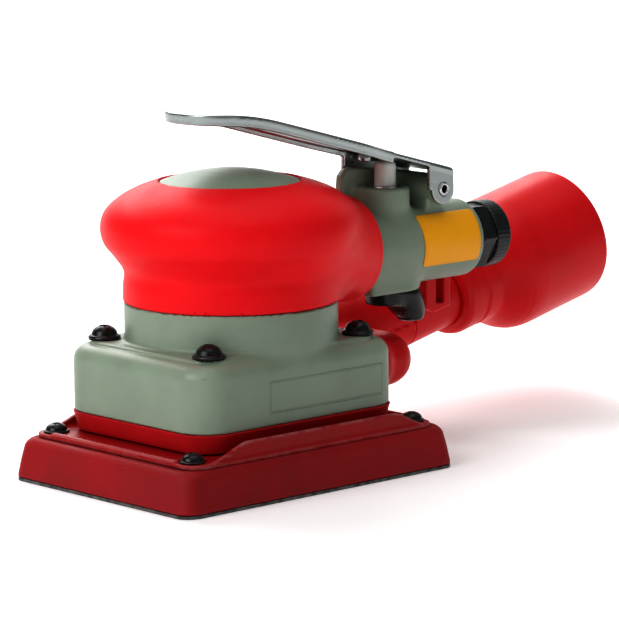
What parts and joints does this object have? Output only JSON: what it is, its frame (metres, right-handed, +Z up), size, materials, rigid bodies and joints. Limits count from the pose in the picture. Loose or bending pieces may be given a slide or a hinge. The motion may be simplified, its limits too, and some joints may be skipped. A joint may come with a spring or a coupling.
{
  "type": "orbital sander",
  "caption": "Air-powered palm orbital sander: rectangular foam pad, padded round grip, squeeze lever, handle with air inlet and a swivelling dust hose fitting.",
  "frame": {"origin": "on the motor's main axis, on the plane of the pad's working face", "axes": "+X to the rear, along the handle to the air inlet and the hose fitting; +Y to the side where the dust duct runs; +Z up along the motor axis, away from the work"},
  "size_m": [0.2205, 0.0873, 0.1051],
  "materials": {
    "housing": "satin, fine moulded grain",
    "grip": "satin soft-touch",
    "black_steel": "black oxide, low sheen",
    "rubber_red": "matt",
    "steel": "machined",
    "bearing_steel": "ground and polished",
    "brass": "machined brass",
    "black_bushing": "semi-gloss",
    "black_rubber": "matt",
    "label": "printed film, semi-gloss",
    "exhaust_red": "satin moulded",
    "felt": "pressed felt",
    "vane": "resin-bonded fabric",
    "plate_red": "satin powder coat",
    "board": "fibre board",
    "foam_red": "dense moulded foam",
    "film": "slick film",
    "lever_metal": "polished stainless sheet",
    "nylon": "natural nylon"
  },
  "bodies": {
    "housing_body": {"housing": "housing", "grip": "grip", "housing_screws": "black_steel", "support_columns": "rubber_red", "skirt": "rubber_red", "lock_ring": "steel", "lower_endplate": "steel", "lower_bearing": "bearing_steel", "motor_cylinder": "steel", "upper_endplate": "steel", "upper_bearing": "bearing_steel", "lever_pin": "steel", "valve_bushing": "steel", "valve_seat": "brass", "knob_retainer": "steel", "inlet_bushing": "black_bushing", "inlet_washer": "black_rubber", "inlet_screen": "brass", "label": "label", "exhaust_elbow": "exhaust_red", "exhaust_duct": "exhaust_red", "exhaust_muffler": "felt", "swivel_ring": "steel", "swivel_seal": "black_rubber"},
    "crank": {"crankshaft": "steel", "counterweight": "brass", "rotor": "steel", "rotor_key": "brass", "vanes": "vane", "spindle_bearing": "bearing_steel", "bearing_retainer": "black_steel"},
    "pad_unit": {"spindle": "steel", "spindle_screws": "steel", "backing_plate": "plate_red", "plate_screws": "black_steel", "pad_board": "board", "pad": "foam_red", "pad_film": "film"},
    "lever_unit": {"lever": "lever_metal", "lever_rivet": "lever_metal"},
    "valve": {"valve_button": "nylon", "valve_poppet": "brass", "valve_spring": "steel"},
    "speed_control": {"speed_knob": "black_bushing", "speed_sleeve": "brass"},
    "hose_end": {"hose_fitting": "exhaust_red"}
  },
  "joints": [
    {"name": "crank_spin", "type": "hinge", "parent": "housing_body", "child": "crank", "pos_m": [0, 0, 0.05], "axis": [0, 0, 1], "continuous": true},
    {"name": "pad_orbit", "type": "hinge", "parent": "crank", "child": "pad_unit", "pos_m": [0, -0.0012, 0.03], "axis": [0, 0, 1], "continuous": true},
    {"name": "lever_squeeze", "type": "hinge", "parent": "housing_body", "child": "lever_unit", "pos_m": [0.0756, 0, 0.07605], "axis": [0, -1, 0], "range_deg": [0, 8], "stiffness_Nm_per_rad": 0.6, "springref_deg": -11.46},
    {"name": "valve_slide", "type": "slide", "parent": "housing_body", "child": "valve", "axis": [0, 0, -1], "range_m": [0, 0.0026], "deforming": ["valve_spring"]},
    {"name": "speed_turn", "type": "hinge", "parent": "housing_body", "child": "speed_control", "pos_m": [0.0612, 0, 0.045], "axis": [0, 0, 1], "range_deg": [-45, 45]},
    {"name": "hose_swivel", "type": "hinge", "parent": "housing_body", "child": "hose_end", "pos_m": [0.12, 0.026, 0.04], "axis": [0.974, 0, 0.2267], "continuous": true}
  ],
  "couplings": [
    {"joint": "pad_orbit", "follows": "crank_spin", "ratio": -1},
    {"joint": "valve_slide", "follows": "lever_squeeze", "m_per_rad": 0.016}
  ]
}
